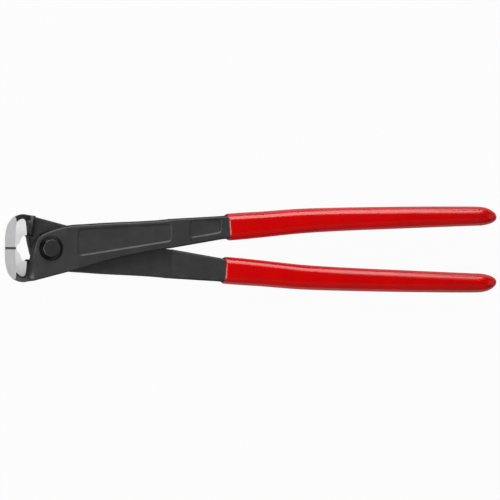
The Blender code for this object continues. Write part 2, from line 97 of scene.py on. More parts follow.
# Sunk panels. Low margins are given for a panel's start and its end. The profile says how far inside
# the panel's outline each ring of its cutter runs, and how far under the lever's face. At the panel's
# end the ring steps in by PANEL_END_SHARE of that
LAP_PANEL_START = 0.0168
LAP_PANEL_END = 0.0748
LAP_PANEL_LOW_MARGINS = (0.0078, 0.0044)
LAP_PANEL_HIGH_MARGIN = 0.0030
HANDLE_PANEL_START = 0.0860
HANDLE_PANEL_LOW_MARGINS = (0.0042, 0.0042)
HANDLE_PANEL_HIGH_MARGIN = 0.0017
PANEL_CORNER = 0.0028
PANEL_END_SHARE = 0.5
PANEL_PROFILE = (
    (-0.0016, -0.00200),
    (-0.0008, -0.00015),
    (-0.0005, 0.00001),
    (-0.0003, 0.00009),
    (-0.0001, 0.00022),
    (0.0001, 0.00036),
    (0.0003, 0.00047),
    (0.0005, 0.00052),
    (0.0007, 0.00054),
)

# Tangs and grips
HANDLE_SPREAD = 0.0201
TANG_START = 0.1060
TANG_END_COVER = 0.0080
TANG_CORNER = 0.0020
UPPER_GRIP_START = 0.1104
LOWER_GRIP_START = 0.1082
GRIP_WIDTH = 0.0162
GRIP_THICKNESS = 0.0132
GRIP_WALL = 0.0012
GRIP_LIP = 0.0008
GRIP_LIP_LENGTH = 0.0014
GRIP_CORNER = 0.0048
GRIP_TIP_CORNER = 0.0057
GRIP_TIP = 0.0110

# Sizes that follow from these
LAP = FIT / 2
JOINT_HALF = JOINT_THICKNESS / 2
JAW_HALF = JAW_WIDTH / 2
RIVET_SEAT = JOINT_HALF + FIT
JOINT_X = (EDGE_REACH - HANDLE_REACH) / 2
TANG_REACH = HANDLE_REACH - TANG_START
PIVOT = Matrix.Translation((JOINT_X, 0.0, JAW_HALF))
TURNED_OVER = PIVOT @ Matrix.Rotation(math.pi, 4, "X")

# Jaw outline. Along the tool the shares are of the edge's reach. Across it they are of HEAD_HALF for
# the outer side and the front, and of THROAT_HALF for the inner side
JAW_OUTER_SHARES = (
    (-1.090, -0.740),
    (-1.020, -0.815),
    (-0.950, -0.872),
    (-0.880, -0.920),
    (-0.845, -0.942),
    (-0.810, -0.960),
    (-0.775, -0.975),
    (-0.740, -0.987),
    (-0.700, -0.995),
    (-0.635, -1.000),
    (-0.570, -0.990),
    (-0.500, -0.972),
)
JAW_INNER_SHARES = (
    (-0.945, -0.210),
    (-0.890, -0.385),
    (-0.862, -0.570),
    (-0.838, -0.775),
    (-0.800, -0.925),
    (-0.745, -0.985),
    (-0.690, -1.000),
    (-0.620, -1.000),
    (-0.560, -0.990),
    (-0.520, -0.955),
)
ROUGH_FRONT_SHARE = 1.45
FRONT_FACE_SHARES = (
    (-0.9977, -0.175),
    (-0.9890, -0.350),
    (-0.9710, -0.540),
    (-0.9430, -0.700),
    (-0.9130, -0.813),
    (-0.8800, -0.916),
    (-0.8520, -0.995),
    (-0.8330, -1.050),
)
SHOULDER_LOW_SHARE = 0.945
SHOULDER_HIGH_SHARE = 0.850

# The boss's high side: points as shares of its radius before and after an arc
BOSS_RUN_IN_SHARES = ((-1.112, -0.439), (-1.082, -0.224), (-1.031, -0.031))
BOSS_ARC = (math.radians(168), math.radians(112))
BOSS_RUN_OUT_SHARES = ((-0.180, 1.010), (0.040, 1.088), (0.398, 1.204), (0.918, 1.335))

# The lever's low and high side, as shares of the lap end's place and of the handles' spread
LEVER_EDGE_SHARES = (
    (0.2098, -0.6260, 0.7010),
    (0.3139, -0.5130, 0.7240),
    (0.4312, -0.3880, 0.7540),
    (0.5604, -0.2700, 0.7790),
    (0.7275, -0.1400, 0.8060),
    (0.9002, -0.0280, 0.8430),
)
LAP_END_LOW_SHARE = 0.009
LAP_END_HIGH_SHARE = 0.880

# The grip: share of the way along the tang, then shares of the handles' spread, the grip's width
# and its thickness
GRIP_SHARES = (
    (0.000, 0.627, 1.000, 1.000),
    (0.080, 0.680, 0.988, 0.995),
    (0.150, 0.727, 0.957, 0.985),
    (0.290, 0.832, 0.914, 0.960),
    (0.436, 0.890, 0.868, 0.935),
    (0.654, 0.945, 0.812, 0.900),
    (0.870, 0.988, 0.735, 0.850),
    (0.950, 0.993, 0.695, 0.820),
    (1.000, 0.957, 0.660, 0.800),
)

# How finely the shapes are drawn
OVERRUN = 0.0040
SAME_POINT = 0.00002
RUNG_SPACING = 0.00045
LEVER_SPACING = 0.0008
AIM_RUNGS = 2
BOSS_ARC_STEPS = 7
FRONT_STEPS = 4
TANG_STEPS = 36
WALL_STEPS = 6
CORNER_STEPS = 6
FACE_STEPS = 60
ROUND_STEPS = 96
PANEL_CORNER_STEPS = 8
RIVET_SOFT_STEPS = 5
GRIP_CORNER_STEPS = 10
GRIP_LIP_STEPS = 6
GRIP_STEPS = 96
GRIP_TIP_STEPS = 20
POCKET_STEPS = 36
SHARP_ANGLE = math.radians(32)

# Where the forging is given painted shade: the jaw's outer nose, a strip at the shoulder's rim, and
# steep sides. A face is steep if its normal's part along the joint's axis is under STEEP
PAINTED_SHADE_BACK = -0.0125
PAINTED_SHADE_OVERLAP = 0.0006
PAINTED_SHADE_BAND = 0.0013
STEEP = 0.62
SHOULDER_RIM_FRONT = 0.0012
SHOULDER_RIM_BACK = 0.0003
THROAT_BACK = (-SHOULDER_HIGH - SHOULDER_RIM_FRONT, -SHOULDER_LOW / 2)

# Patterns of the surfaces: noise, the range of it that counts, and a bump's depth and strength
MOTTLE = {"scale": 120.0, "detail": 6.0, "roughness": 0.65}
GRAIN = {"scale": 2600.0, "detail": 3.0, "roughness": 0.6}
WAVES = {"scale": 260.0, "detail": 3.0, "roughness": 0.5}
GRINDING_LINES = {"scale": 900.0, "detail": 3.0, "roughness": 0.6, "stretch": (1.0, 0.06, 1.0)}
CLOUD = {"scale": 170.0, "detail": 4.0, "roughness": 0.6}
RIPPLE = {"scale": 140.0, "detail": 2.0, "roughness": 0.5, "stretch": (0.5, 1.0, 1.0)}
PEEL = {"scale": 1500.0, "detail": 2.0, "roughness": 0.5}
TINT = {"scale": 60.0, "detail": 3.0, "roughness": 0.5}
FLOOR_SHADE = {"scale": 3.0, "detail": 2.0, "roughness": 0.55}
MOTTLE_RANGE = (0.35, 0.68)
COLOUR_RANGE = (0.35, 0.65)
ROUGHNESS_RANGE = (0.3, 0.7)
GRAIN_BUMP = (0.00004, 0.3)
WAVES_BUMP = (0.00010, 0.5)
LINES_BUMP = (0.00002, 0.25)
PEEL_BUMP = (0.00001, 0.10)
RIPPLE_BUMP = (0.00010, 0.08)

# Darkest and lightest colour, lowest and highest roughness, and specular level of each dark steel
DARK_STEELS = {
    "black_oxide": ((0.037, 0.037, 0.038), (0.053, 0.053, 0.054), 0.35, 0.47, 0.7),
    # The next finish is painted shade: near black, put on the forging's nose, the shoulder's rim and
    # steep sides where shade falls
    "painted_shade_steel": ((0.006, 0.006, 0.006), (0.012, 0.012, 0.012), 0.55, 0.67, 0.18),
    "rivet_oxide": ((0.020, 0.020, 0.021), (0.028, 0.028, 0.029), 0.31, 0.43, 1.0),
    # The cones' finish is painted shade: darker than the rivet's flat so that its chamfer reads as
    # shaded
    "rivet_cone_painted_shade": ((0.003, 0.003, 0.003), (0.006, 0.006, 0.006), 0.19, 0.31, 0.5),
    # The land's finish is painted shade of the dark gap between the closed jaws
    "edge_land_painted_shade": ((0.015, 0.015, 0.015), (0.030, 0.030, 0.030), 0.55, 0.67, 0.5),
}
GROUND_COLOURS = ((0.76, 0.76, 0.77), (0.82, 0.82, 0.83))
GROUND_ROUGHNESS = (0.66, 0.78)
GROUND_METALLIC = 0.08
VINYL_COLOURS = ((0.78, 0.0008, 0.0011), (0.86, 0.0012, 0.0016))
VINYL_ROUGHNESS = (0.16, 0.22)
VINYL_SPECULAR = 1.0

# Floor. It glows by FLOOR_GLOW for the camera, and by FLOOR_MIRRORED of that in reflections
WHITE = (1.0, 1.0, 1.0, 1.0)
FLOOR_REACH = 30.0
FLOOR_DROP = 0.0001
FLOOR_COLOURS = ((0.50, 0.50, 0.50), (0.53, 0.53, 0.53))
FLOOR_ROUGHNESS = 0.9
FLOOR_GLOW = 0.96
FLOOR_MIRRORED = 0.2

# Each lamp's place, its size, its power per square metre and the point that it faces
ORIGIN = (0.0, 0.0, 0.0)
LAMPS = {
    "key": ((-0.07, 0.8, 0.80), (1.08, 1.12), 9.0, (-0.07, 0.0, 0.80)),
    "fill": ((0.0, -1.0, 1.0), (2.4, 1.6), 0.2, ORIGIN),
    "left_fill": ((-0.79, -0.28, 0.92), (1.0, 1.0), 9.0, ORIGIN),
    "right_fill": ((1.2, 0.0, 0.6), (1.0, 0.8), 0.7, ORIGIN),
}

# The surround's strength at the horizon and overhead. On a dome of radius one, it is the overhead
# strength from the height FADE_TOP up
HORIZON_LIGHT = 0.05
ZENITH_LIGHT = 0.010
FADE_TOP = 0.7

# The photograph's view: the camera's turn, the picture's width in metres and in pixels, and the
# joint's place in it in pixels from the left and from the top
CAMERA_YAW = math.radians(14.4)
CAMERA_ROLL = math.radians(0.17)
VIEW_SPAN = 0.2979
LENS = 1200.0
CLIP_NEAR = 0.1
CLIP_FAR = 40.0
PICTURE_PIXELS = 500
JOINT_PIXELS = (47.4, 248.9)


def smoothstep(low, high, value):
    """None up to the low end and one from the high end on, with a smooth change between."""
    share = min(1.0, max(0.0, (value - low) / (high - low)))
    return share * share * (3 - 2 * share)


def smooth_min(first, second, blend):
    """The smaller of two values, rounded where they are closer than the blend."""
    mix = min(1.0, max(0.0, 0.5 + 0.5 * (second - first) / blend))
    return second + (first - second) * mix - blend * mix * (1 - mix)


def between(table, where, column):
    """A column's value between the table's rows, on straight lines."""
    if where <= table[0][0]:
        return table[0][column]
    for low, high in zip(table, table[1:]):
        if where <= high[0]:
            share = (where - low[0]) / (high[0] - low[0])
            return low[column] + share * (high[column] - low[column])
    return table[-1][column]


def smooth_between(table, where, column):
    """A column's value between the table's rows, on a smooth curve."""
    last = len(table) - 1
    at = 0
    while at < last - 1 and where > table[at + 1][0]:
        at += 1
    start, end = table[at], table[at + 1]
    before, after = table[max(at - 1, 0)], table[min(at + 2, last)]
    length = end[0] - start[0]
    part = (where - start[0]) / length
    slope_in = (end[column] - before[column]) / (end[0] - before[0]) * length
    slope_out = (after[column] - start[column]) / (after[0] - start[0]) * length
    squared, cubed = part**2, part**3
    return (
        (2 * cubed - 3 * squared + 1) * start[column]
        + (cubed - 2 * squared + part) * slope_in
        + (3 * squared - 2 * cubed) * end[column]
        + (cubed - squared) * slope_out
    )


def spline(points, at, share):
    """A point on the smooth curve through these points, between points at and at + 1."""
    start, end = points[at], points[at + 1]
    before = points[at - 1] if at else start * 2 - end
    after = points[at + 2] if at + 2 < len(points) else end * 2 - start
    squared, cubed = share**2, share**3
    return (
        start * 2
        + (end - before) * share
        + (before * 2 - start * 5 + end * 4 - after) * squared
        + (start * 3 - before - end * 3 + after) * cubed
    ) / 2


def bend(start, corner, end, steps):
    """Points from start to end on a curve that rounds the corner."""
    points = []
    for step in range(steps + 1):
        share = step / steps
        points.append(start.lerp(corner, share).lerp(corner.lerp(end, share), share))
    return points


# Sizes along the tool


def handle_centre(x):
    share = (x - TANG_START) / TANG_REACH
    return Vector((x, HANDLE_SPREAD * smooth_between(GRIP_SHARES, share, 1)))


def handle_side(x):
    """The direction square to the handle, towards its high side."""
    step = TANG_REACH / ROUND_STEPS
    along = (handle_centre(x + step) - handle_centre(x - step)).normalized()
    return Vector((-along.y, along.x))


def grip_halves(x):
    """Half the grip's width and half its thickness, drawn in over the round tip."""
    share = (x - TANG_START) / TANG_REACH
    into_tip = max(0.0, (x - HANDLE_REACH + GRIP_TIP) / GRIP_TIP)
    drawn_in = math.sqrt(max(0.0, 1 - into_tip**2))
    width = GRIP_WIDTH / 2 * smooth_between(GRIP_SHARES, share, 2)
    thickness = GRIP_THICKNESS / 2 * smooth_between(GRIP_SHARES, share, 3)
    return width * drawn_in, thickness * drawn_in


def grip_corner(x):
    """The corner radius of a grip, which grows towards the tip."""
    share = (x - LOWER_GRIP_START) / (HANDLE_REACH - LOWER_GRIP_START)
    return GRIP_CORNER + share * (GRIP_TIP_CORNER - GRIP_CORNER)


def tang_halves(x):
    width, thickness = grip_halves(x)
    return width - GRIP_WALL, thickness - GRIP_WALL


def lever_half(x):
    """Half the forging's thickness behind the jaw."""
    if x > TANG_START:
        return tang_halves(x)[1]
    stations = (
        (TAPER_START, JOINT_HALF),
        (TAPER_END, LAP_END_HALF_THICKNESS),
        (TANG_START, tang_halves(TANG_START)[1]),
    )
    return between(stations, x, 1)


def lever_edges(x):
    """The places across the tool of the lever's low and high side, on straight lines."""
    tang = tang_rung(TANG_START)
    rows = [
        (LAP_END_X * at, HANDLE_SPREAD * low, HANDLE_SPREAD * high)
        for at, low, high in LEVER_EDGE_SHARES
    ]
    low, high = HANDLE_SPREAD * LAP_END_LOW_SHARE, HANDLE_SPREAD * LAP_END_HIGH_SHARE
    rows += [(LAP_END_X, low, high), (TANG_START, tang.low.y, tang.high.y)]
    return between(rows, x, 1), between(rows, x, 2)


def ground_half(y):
    """Half the jaw's width between its ground sides."""
    share = max(0.0, (abs(y) - JAW_FLAT_HALF) / (HEAD_HALF - JAW_FLAT_HALF))
    return JAW_HALF - JAW_NARROWING * share**2


def tongue_end(x, side):
    """How far from the tool's middle the ground side face reaches here."""
    past = max(0.0, (-x - TONGUE_END_X) / (EDGE_REACH - TONGUE_END_X))
    return TONGUE_ENDS[side] - TONGUE_FRONT_DROP * past**2


def jaw_height(at, side):
    """The forging's side face: proud of the ground inside the tongue's outline, then falling."""
    to_end = tongue_end(at.x, side) + TONGUE_MARGIN - abs(at.y)
    depth = smooth_min(TONGUE_BACK - at.x, to_end, TONGUE_ROUND)
    return ground_half(at.y) + min(GROUND_RISE, FLARE_SLOPE * depth)


def shoulder_line(y):
    """The shoulder's place along the tool, between the jaw and the lap."""
    low, high = HEAD_HALF * SHOULDER_LOW_SHARE, THROAT_HALF * SHOULDER_HIGH_SHARE
    share = (-y - low) / (high - low)
    return -SHOULDER_LOW + share * (SHOULDER_LOW - SHOULDER_HIGH)


# The forging, lofted over rungs from its rough front to the tang's end


class Rung:
    """A cut through the forging, from a point on its low side to one on its high side.

    A full rung has both sides of the forging. Any other ends at the lap plane.
    """

    def __init__(self, low, high, corners, full=True):
        self.low, self.high = Vector(low), Vector(high)
        self.low_corner, self.high_corner = corners
        self.full = full
        self.inward = None

    def jaw_share(self):
        """One where the section is the jaw's, none from the shoulder back."""
        x = (self.low.x + self.high.x) / 2
        return 1 - smoothstep(TONGUE_BACK, -(SHOULDER_LOW + SHOULDER_HIGH) / 2, x)

    def low_part(self, jaw, along, side):
        """Setback and height up the low side and round its corner."""
        edge = LAP + LAP_CORNER
        top = lever_half(self.low.x)
        count = WALL_STEPS + CORNER_STEPS
        if jaw:
            nose = -self.low.y - tongue_end(self.low.x, side)
            nose_top = jaw_height(self.low + along * nose, side)
        for step in range(count + 1):
            if step < WALL_STEPS:
                setback = 0.0
                height = edge + (top - self.low_corner - edge) * step / WALL_STEPS
            else:
                turn = math.pi / 2 * (step - WALL_STEPS) / CORNER_STEPS
                setback = self.low_corner * (1 - math.cos(turn))
                height = top - self.low_corner * (1 - math.sin(turn))
            if jaw:
                nose_height = edge + (nose_top - edge) * (step / count) ** NOSE_POWER
                setback += (nose * (nose_height / nose_top) ** 2 - setback) * jaw
                height += (nose_height - height) * jaw
            yield setback, height

    def side_points(self, side):
        """Points round this side of the forging, from its low to its high side."""
        jaw = self.jaw_share()
        along = (self.high - self.low).normalized()
        points = []
        for setback, height in self.low_part(jaw, along, side):
            points.append((self.low + along * setback, height))
        start, end = points[-1][0], self.high + self.inward * self.high_corner
        low_top, high_top = lever_half(self.low.x), lever_half(self.high.x)
        for step in range(1, FACE_STEPS + 1):
            at = start.lerp(end, step / FACE_STEPS)
            height = low_top + (high_top - low_top) * step / FACE_STEPS
            if jaw:
                height += (jaw_height(at, side) - height) * jaw
            points.append((at, height))
        top = points[-1][1]
        for step in range(1, CORNER_STEPS + 1):
            turn = math.pi / 2 * step / CORNER_STEPS
            at = self.high + self.inward * self.high_corner * (1 - math.sin(turn))
            points.append((at, top - self.high_corner * (1 - math.cos(turn))))
        wall = top - self.high_corner - LAP - LAP_CORNER
        for step in range(1, WALL_STEPS + 1):
            points.append((self.high, top - self.high_corner - wall * step / WALL_STEPS))
        return [Vector((at.x, at.y, side * height)) for at, height in points]

    def lap_points(self):
        """The edges of the lap plane on the low and the high side."""
        back = 0.0 if self.full else LAP_CORNER
        low = self.low + (self.high - self.low).normalized() * back
        high = self.high + self.inward * back
        return Vector((low.x, low.y, LAP)), Vector((high.x, high.y, LAP))


def jaw_rungs():
    """Rungs from the rough front to the shoulder."""
    edge = Vector((EDGE_LAND_SETBACK - EDGE_REACH, -EDGE_GAP / 2))
    inner = [Vector((EDGE_REACH * x, THROAT_HALF * y)) for x, y in JAW_INNER_SHARES]
    rough_front = edge + (edge - inner[0]) * ROUGH_FRONT_SHARE
    highs = [rough_front, edge, *inner]
    highs.append(Vector((-SHOULDER_HIGH, -THROAT_HALF * SHOULDER_HIGH_SHARE)))
    lows = [Vector((EDGE_REACH * x, HEAD_HALF * y)) for x, y in JAW_OUTER_SHARES]
    lows.append(Vector((-SHOULDER_LOW, -HEAD_HALF * SHOULDER_LOW_SHARE)))
    corners = (BOSS_CORNER, THROAT_CORNER)
    return [Rung(low, high, corners) for low, high in zip(lows, highs)]


def boss_rungs(start):
    """Rungs from the shoulder's low end, round the boss, to the waist."""
    waist = Vector((WAIST_X, -WAIST_LOW))
    highs = [Vector((x, y)) * BOSS_RADIUS for x, y in BOSS_RUN_IN_SHARES]
    first, last = BOSS_ARC
    for step in range(BOSS_ARC_STEPS):
        turn = first + (last - first) * step / (BOSS_ARC_STEPS - 1)
        highs.append(Vector((math.cos(turn), math.sin(turn))) * BOSS_RADIUS)
    highs += [Vector((x, y)) * BOSS_RADIUS for x, y in BOSS_RUN_OUT_SHARES]
    rungs = []
    for at, high in enumerate(highs):
        share = (at + 1) / len(highs)
        low_corner = BOSS_CORNER + share * (LEVER_LOW_CORNER - BOSS_CORNER)
        high_corner = BOSS_CORNER if at else THROAT_CORNER
        corners = (low_corner, high_corner)
        rungs.append(Rung(start.lerp(waist, share), high, corners, full=False))
    return rungs


def lever_rungs():
    """Rungs from behind the waist to the tang, full thickness from the lap's end on."""
    corners = (LEVER_LOW_CORNER, LEVER_CORNER)
    rungs = []
    for x, low, high in (*LEVER_EDGE_SHARES, (1.0, LAP_END_LOW_SHARE, LAP_END_HIGH_SHARE)):
        low_point = (LAP_END_X * x, HANDLE_SPREAD * low)
        high_point = (LAP_END_X * x, HANDLE_SPREAD * high)
        rungs.append(Rung(low_point, high_point, corners, full=False))
    lap_end, tang = rungs[-1], tang_rung(TANG_START)
    ramp = LAP_RAMP / (TANG_START - LAP_END_X)
    corners = (HANDLE_CORNER, HANDLE_CORNER)
    for share in (ramp, (1 + ramp) / 2):
        low, high = lap_end.low.lerp(tang.low, share), lap_end.high.lerp(tang.high, share)
        rungs.append(Rung(low, high, corners))
    return [*rungs, tang]


def tang_rung(x):
    centre, side = handle_centre(x), handle_side(x)
    half = tang_halves(x)[0]
    corner = HANDLE_CORNER if x <= UPPER_GRIP_START else TANG_CORNER
    return Rung(centre - side * half, centre + side * half, (corner, corner))


def all_rungs():
    """Rungs along smooth curves through the ones that set the outline, then along the tang."""
    rungs = jaw_rungs()
    rungs += boss_rungs(rungs[-1].low)
    rungs += lever_rungs()
    lows, highs = [rung.low for rung in rungs], [rung.high for rung in rungs]
    made = []
    for at, (here, there) in enumerate(zip(rungs, rungs[1:])):
        gap = max((there.low - here.low).length, (there.high - here.high).length)
        spacing = RUNG_SPACING if here.low.x < TAPER_START else LEVER_SPACING
        steps = math.ceil(gap / spacing)
        if there.full and not here.full:
            steps = 1
        for step in range(steps):
            share = step / steps
            corners = (
                here.low_corner + share * (there.low_corner - here.low_corner),
                here.high_corner + share * (there.high_corner - here.high_corner),
            )
            full = here.full and (there.full or step == 0)
            made.append(Rung(spline(lows, at, share), spline(highs, at, share), corners, full))
    made.append(rungs[-1])
    end = HANDLE_REACH - TANG_END_COVER
    for step in range(TANG_STEPS + 1):
        made.append(tang_rung(UPPER_GRIP_START + (end - UPPER_GRIP_START) * step / TANG_STEPS))
    last = len(made) - 1
    for at, rung in enumerate(made):
        before, after = made[max(at - AIM_RUNGS, 0)].high, made[min(at + AIM_RUNGS, last)].high
        along = (after - before).normalized()
        rung.inward = Vector((along.y, -along.x))
    return made


def skin(bm, loops, closed):
    for first, second in zip(loops, loops[1:]):
        count = len(first)
        for at in range(count if closed else count - 1):
            after = (at + 1) % count
            bm.faces.new((first[at], first[after], second[after], second[at]))


def linked_object(name, bm, materials=()):
    bmesh.ops.recalc_face_normals(bm, faces=bm.faces)
    mesh = bpy.data.meshes.new(name)
    bm.to_mesh(mesh)
    bm.free()
    for made in materials:
        mesh.materials.append(made)
    obj = bpy.data.objects.new(name, mesh)
    bpy.context.scene.collection.objects.link(obj)
    return obj


def smooth(mesh):
    mesh.shade_smooth()
    mesh.set_sharp_from_angle(angle=SHARP_ANGLE)


def forged_blank(finish):
    """The forging before it is ground and bored, open to the other half at the lap plane."""
    rungs = all_rungs()
    bm = bmesh.new()
    near, far = [], []
    for rung in rungs:
        low, high = rung.lap_points()
        near.append([bm.verts.new(point) for point in (low, *rung.side_points(1), high)])
        far.append([bm.verts.new(point) for point in rung.side_points(-1)] if rung.full else None)
    skin(bm, near, closed=False)
    first, last = WALL_STEPS, WALL_STEPS + 2 * CORNER_STEPS + FACE_STEPS
    for at in range(len(rungs) - 1):
        here, there = far[at], far[at + 1]
        low_here, high_here = near[at][0], near[at][-1]
        low_there, high_there = near[at + 1][0], near[at + 1][-1]
        if here and there:
            loops = [[low_here, *here, high_here], [low_there, *there, high_there]]
            skin(bm, loops, closed=False)
            continue
        if here:
            bm.faces.new((low_here, *here, high_here))
        if there:
            bm.faces.new((low_here, low_there, *there[: first + 1]))
            bm.faces.new((low_here, *there[first : last + 1], high_here))
            bm.faces.new((high_here, *there[last:], high_there))
            continue
        bm.faces.new((low_here, high_here, high_there, low_there))
    for end in (0, -1):
        bm.faces.new(near[end] + far[end][::-1])
    return linked_object("forging", bm, [finish])


# Cutters for the forging


def prism(points, bottom, top):
    bm = bmesh.new()
    low = [bm.verts.new((x, y, bottom)) for x, y in points]
    high = [bm.verts.new((x, y, top)) for x, y in points]
    skin(bm, [low, high], closed=True)
    bm.faces.new(low)
    bm.faces.new(high)
    return bm


def circle(radius):
    turns = [math.tau * step / ROUND_STEPS for step in range(ROUND_STEPS)]
    return [(radius * math.cos(turn), radius * math.sin(turn)) for turn in turns]


def front_grinding(finish):
    """Cuts the front face, with a narrow land along the cutting line."""
    outline = [
        (-EDGE_REACH + EDGE_LAND_SETBACK, THROAT_HALF),
        (-EDGE_REACH + EDGE_LAND_SETBACK, -EDGE_GAP / 2),
        (-EDGE_REACH, -EDGE_GAP / 2 - EDGE_LAND),
    ]
    shares = [Vector((x, y)) for x, y in FRONT_FACE_SHARES]
    for at in range(len(shares) - 1):
        for step in range(FRONT_STEPS):
            point = spline(shares, at, step / FRONT_STEPS)
            outline.append((EDGE_REACH * point.x, HEAD_HALF * point.y))
    outline.append((EDGE_REACH * shares[-1].x, HEAD_HALF * shares[-1].y))
    outside = outline[-1][0] - EDGE_REACH
    outline += [(outside, outline[-1][1]), (outside, THROAT_HALF)]
    reach = JAW_HALF + OVERRUN
    return linked_object("front_grinding", prism(outline, -reach, reach), [finish])


def side_grinding(side, finish):
    """Cuts one side of the jaw to the ground curve, as far back as the tongue may reach."""
    outside = side * (JAW_HALF + OVERRUN)
    start, end = -GROUND_REACH, THROAT_HALF
    ground = []
    for step in range(ROUND_STEPS + 1):
        y = start + (end - start) * step / ROUND_STEPS
        ground.append((y, side * ground_half(y)))
    outline = [*ground, (end, outside), (start, outside)]
    bm = bmesh.new()
    ends = (-EDGE_REACH - OVERRUN, TONGUE_BACK + TONGUE_OVERRUN)
    loops = [[bm.verts.new((x, y, z)) for y, z in outline] for x in ends]
    skin(bm, loops, closed=True)
    for loop in loops:
        bm.faces.new(loop)
    return linked_object("side_grinding", bm, [finish])


def rivet_bore(finish):
    reach = JOINT_HALF + OVERRUN
    return linked_object("bore", prism(circle(RIVET_SHANK_RADIUS + FIT), -reach, reach), [finish])


def rounded(corners, radius):
    """A closed outline with its corners rounded."""
    points = []
    for at, corner in enumerate(corners):
        back = (corners[at - 1] - corner).normalized()
        ahead = (corners[(at + 1) % len(corners)] - corner).normalized()
        tangent = radius / math.tan(back.angle(ahead) / 2)
        points += bend(corner + back * tangent, corner, corner + ahead * tangent, PANEL_CORNER_STEPS)
    return points


def panel(name, start, end, low_margins, high_margin, finish):
    """A cutter for a sunk panel whose rim and foot are rounded."""
    start_low, start_high = lever_edges(start)
    end_low, end_high = lever_edges(end)
    quad = [
        Vector((start, start_low + low_margins[0])),
        Vector((end, end_low + low_margins[1])),
        Vector((end, end_high - high_margin)),
        Vector((start, start_high - high_margin)),
    ]
    centre = sum(quad, Vector((0, 0))) / 4
    start_face, end_face = lever_half(start), lever_half(end)
    bm = bmesh.new()
    loops = []
    for inset, sink in PANEL_PROFILE:
        corners = []
        for corner in quad:
            out = corner - centre
            along = inset if out.x < 0 else -inset * PANEL_END_SHARE
            across = inset if out.y < 0 else -inset
            corners.append(corner + Vector((along, across)))
        loop = []
        for point in rounded(corners, PANEL_CORNER - inset):
            share = (point.x - start) / (end - start)
            face = start_face + share * (end_face - start_face)
            loop.append(bm.verts.new((point.x, point.y, face - sink)))
        loops.append(loop)
    skin(bm, loops, closed=True)
    bm.faces.new(loops[0])
    bm.faces.new(loops[-1])
    return linked_object(name, bm, [finish])


def shows_painted_shade(at, normal):
    """Whether a face of the forging gets painted shade: its outer nose (all of it on one side, a band
    by the tongue on the other), the shoulder's rim, steep sides.
    """
    # Painted shade on the nose outside the tongue: all of it on the side under the lap plane, only a
    # band by the tongue on the other, as the light falls unevenly on the two jaws
    if at.x < PAINTED_SHADE_BACK and -at.y > tongue_end(at.x, -1) - PAINTED_SHADE_OVERLAP:
        band = at.x < TONGUE_BACK + PAINTED_SHADE_OVERLAP and -at.y < tongue_end(at.x, 1) + PAINTED_SHADE_BAND
        return at.z < 0 or band
    # Painted shade on a strip of the jaw's face at the shoulder's rim, standing in for the shaded step
    # down to the lap
    behind = at.x - shoulder_line(at.y)
    if -SHOULDER_RIM_FRONT < behind < SHOULDER_RIM_BACK and at.z < -JOINT_HALF / 2:
        return True
    # Painted shade on steep sides, which face away from the light, except the lap's ramp and the
    # throat's back wall
    ramp = LAP_END_X < at.x < LAP_END_X + LAP_RAMP
    throat_back = normal.x < -STEEP and THROAT_BACK[0] < at.x < THROAT_BACK[1]
    steep = abs(normal.z) < STEEP and at.x < UPPER_GRIP_START
    return steep and not ramp and not throat_back


def finish_faces(mesh, black, land, scale):
    """Gives the edge's land, painted as the shaded gap between the jaws, and the faces of painted
    shade their own dark finishes.
    """
    finishes = list(mesh.materials)
    mesh.materials.append(land)
    mesh.materials.append(scale)
    for face in mesh.polygons:
        at = face.center
        # The cutting edge's land is painted as the dark gap between the jaws
        if at.x < EDGE_LAND_SETBACK - EDGE_REACH and at.y > -EDGE_LAND:
            face.material_index = len(finishes)
        elif finishes[face.material_index] == black and shows_painted_shade(at, face.normal):
            face.material_index = len(finishes) + 1


def finished_forging(black, bright, land, scale):
    """The forging ground, bored and with its panels sunk, as one mesh for both levers."""
    blank = forged_blank(black)
    tools = [
        side_grinding(1, bright),
        side_grinding(-1, bright),
        front_grinding(bright),
        rivet_bore(black),
        panel(
            "lap_panel",
            LAP_PANEL_START,
            LAP_PANEL_END,
            LAP_PANEL_LOW_MARGINS,
            LAP_PANEL_HIGH_MARGIN,
            black,
        ),
        panel(
            "handle_panel",
            HANDLE_PANEL_START,
            TANG_START,
            HANDLE_PANEL_LOW_MARGINS,
            HANDLE_PANEL_HIGH_MARGIN,
            black,
        ),
    ]
    for tool in tools:
        modifier = blank.modifiers.new(tool.name, "BOOLEAN")
        modifier.operation = "DIFFERENCE"
        modifier.solver = "EXACT"
        modifier.material_mode = "TRANSFER"
        modifier.object = tool
    bpy.context.view_layer.update()
    graph = bpy.context.evaluated_depsgraph_get()
    mesh = bpy.data.meshes.new_from_object(blank.evaluated_get(graph))
    mesh.name = "lever_forging"
    finish_faces(mesh, black, land, scale)
    for obj in [blank, *tools]:
        bpy.data.objects.remove(obj, do_unlink=True)
    bm = bmesh.new()
    bm.from_mesh(mesh)
    bmesh.ops.remove_doubles(bm, verts=bm.verts, dist=SAME_POINT)
    bm.to_mesh(mesh)
    bm.free()
    smooth(mesh)
    return mesh


# Grips and rivet


def bar_loop(x, half_width, half_thickness, corner):
    """A rounded rectangle square to the handle."""
    centre, side = handle_centre(x), handle_side(x)
    corner = min(corner, half_width, half_thickness)
    points = []
    for quarter in range(4):
        across = 1 if quarter in (0, 3) else -1
        up = 1 if quarter in (0, 1) else -1
        for step in range(GRIP_CORNER_STEPS + 1):
            turn = math.pi / 2 * (quarter + step / GRIP_CORNER_STEPS)
            wide = across * (half_width - corner) + corner * math.cos(turn)
            high = up * (half_thickness - corner) + corner * math.sin(turn)
            at = centre + side * wide
            points.append((at.x, at.y, high))
    return points


